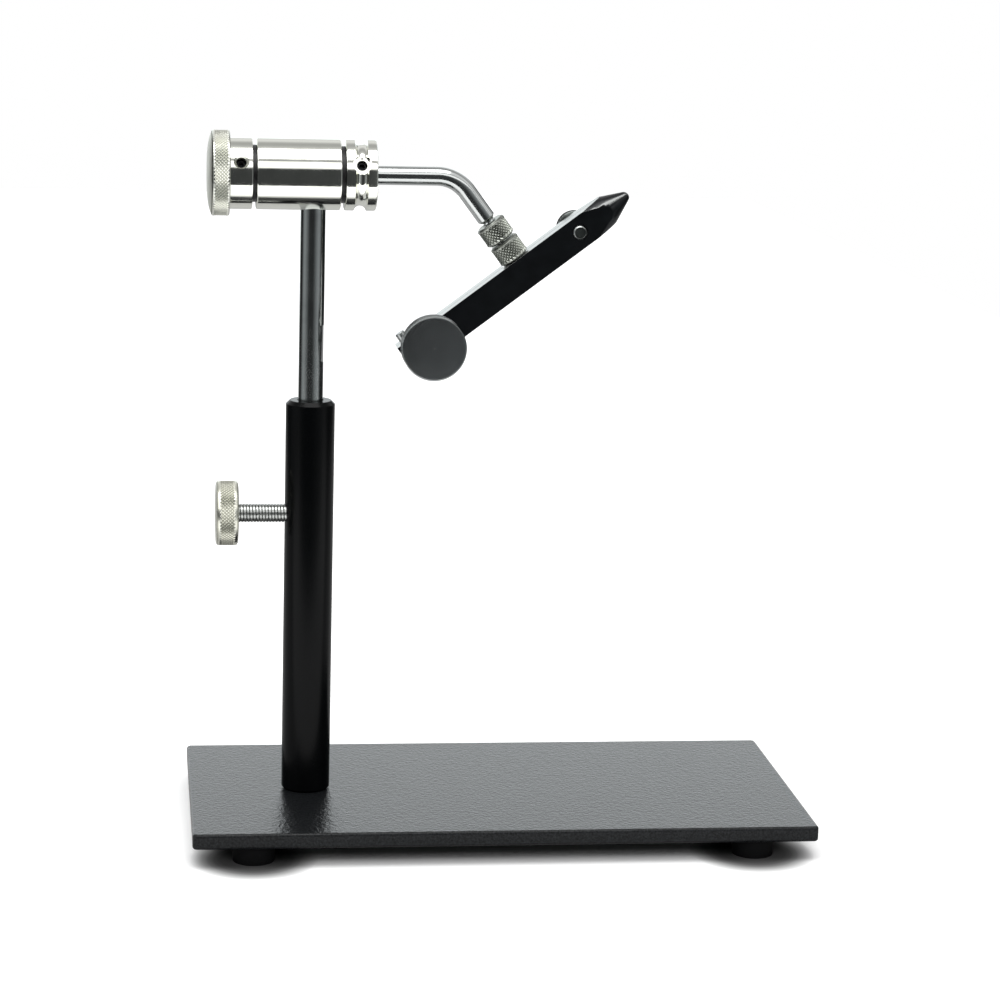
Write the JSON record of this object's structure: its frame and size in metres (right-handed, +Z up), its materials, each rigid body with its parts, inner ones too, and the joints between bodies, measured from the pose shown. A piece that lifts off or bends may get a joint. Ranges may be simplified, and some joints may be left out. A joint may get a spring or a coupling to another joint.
{
  "type": "rotary fly tying vise",
  "caption": "Rotary fly tying vise: long clamping jaws on a bent crank arm in a turned head, on a rod that slides in a stem tube on a flat pedestal plate.",
  "frame": {"origin": "under the centre of the base plate, on the table that the feet stand on", "axes": "+Z up, +X along the head towards the jaws, +Y to the back, away from the tyer's clamp screw"},
  "size_m": [0.2, 0.1, 0.2268],
  "materials": {
    "plate": "black textured powder coat",
    "rubber": "matt black",
    "zinc_steel": "zinc plated",
    "black_tube": "gloss black",
    "knurled_steel": "turned and knurled nickel plate",
    "ground_steel": "ground bright",
    "polished_steel": "polished",
    "black_oxide": "black oxide",
    "bronze": "plain bearing bronze",
    "brass": "turned",
    "nylon": "natural",
    "black_plastic": "matt black acetal"
  },
  "bodies": {
    "base": {"base_plate": "plate", "rubber_feet": "rubber", "foot_screws": "zinc_steel", "stem_tube": "black_tube", "stem_screw": "zinc_steel"},
    "height_screw_plug": {"height_screw_plug": "nylon"},
    "height_screw": {"height_screw": "knurled_steel"},
    "rod": {"stem_rod": "ground_steel"},
    "head": {"head_barrel": "polished_steel", "head_grub_screw": "black_oxide", "rear_bush": "bronze", "front_bush": "bronze", "rear_thrust_washer": "black_plastic", "front_thrust_washer": "black_plastic"},
    "rotor": {"handwheel": "knurled_steel", "handwheel_grub_screw": "black_oxide", "drive_collar": "polished_steel", "collar_grub_screw": "black_oxide", "crank_arm": "ground_steel"},
    "upper_nut": {"upper_nut": "knurled_steel"},
    "lower_nut": {"lower_nut": "knurled_steel"},
    "jaws": {"near_jaw": "black_oxide", "keeper_pin": "ground_steel", "jaw_spring": "zinc_steel"},
    "adjusting_washer": {"adjusting_washer": "zinc_steel"},
    "adjusting_screw": {"adjusting_screw": "black_oxide"},
    "far_jaw": {"far_jaw": "black_oxide"},
    "clamp_tip": {"clamp_tip": "brass"},
    "clamp_screw": {"clamp_screw": "knurled_steel"}
  },
  "joints": [
    {"name": "height_screw_feed", "type": "slide", "parent": "base", "child": "height_screw_plug", "axis": [1, 0, 0], "range_m": [-0.002, 0]},
    {"name": "height_screw_turn", "type": "hinge", "parent": "height_screw_plug", "child": "height_screw", "pos_m": [-0.062, 0, 0.1038], "axis": [1, 0, 0], "range_deg": [-720.1, 0]},
    {"name": "rod_slide", "type": "slide", "parent": "base", "child": "rod", "axis": [0, 0, 1], "range_m": [-0.05, 0.014]},
    {"name": "rod_swivel", "type": "hinge", "parent": "rod", "child": "head", "pos_m": [-0.062, 0, 0.2133], "axis": [0, 0, 1], "continuous": true},
    {"name": "rotary_turn", "type": "hinge", "parent": "head", "child": "rotor", "pos_m": [-0.062, 0, 0.2133], "axis": [1, 0, 0], "continuous": true},
    {"name": "upper_nut_turn", "type": "hinge", "parent": "rotor", "child": "upper_nut", "pos_m": [-0.00357, 0, 0.19612], "axis": [-0.606, 0, 0.7955], "range_deg": [0, 90]},
    {"name": "lower_nut_turn", "type": "hinge", "parent": "rotor", "child": "lower_nut", "pos_m": [0.00097, 0, 0.19016], "axis": [-0.606, 0, 0.7955], "range_deg": [0, 90]},
    {"name": "jaw_swivel", "type": "hinge", "parent": "rotor", "child": "jaws", "pos_m": [0.00612, 0, 0.1834], "axis": [-0.606, 0, 0.7955], "range_deg": [-180, 180]},
    {"name": "adjusting_feed", "type": "slide", "parent": "jaws", "child": "adjusting_washer", "axis": [0, 1, 0], "range_m": [0, 0.0015]},
    {"name": "adjusting_turn", "type": "hinge", "parent": "adjusting_washer", "child": "adjusting_screw", "pos_m": [0.02323, 0, 0.19642], "axis": [0, 1, 0], "range_deg": [0, 675.1]},
    {"name": "far_jaw_rock", "type": "hinge", "parent": "adjusting_washer", "child": "far_jaw", "pos_m": [0.02323, 0.0048, 0.19642], "axis": [0.606, 0, -0.7955], "range_deg": [0, 0.81]},
    {"name": "clamp_feed", "type": "slide", "parent": "jaws", "child": "clamp_tip", "axis": [0, 1, 0], "range_m": [0, 0.000833]},
    {"name": "clamp_turn", "type": "hinge", "parent": "clamp_tip", "child": "clamp_screw", "pos_m": [-0.0241, 0, 0.16037], "axis": [0, 1, 0], "range_deg": [0, 300.1]}
  ],
  "couplings": [
    {"joint": "height_screw_turn", "follows": "height_screw_feed", "rad_per_m": 6283.2},
    {"joint": "adjusting_turn", "follows": "adjusting_feed", "rad_per_m": 7854},
    {"joint": "clamp_turn", "follows": "clamp_feed", "rad_per_m": 6283.2},
    {"joint": "far_jaw_rock", "follows": "clamp_feed", "rad_per_m": 16.807}
  ]
}
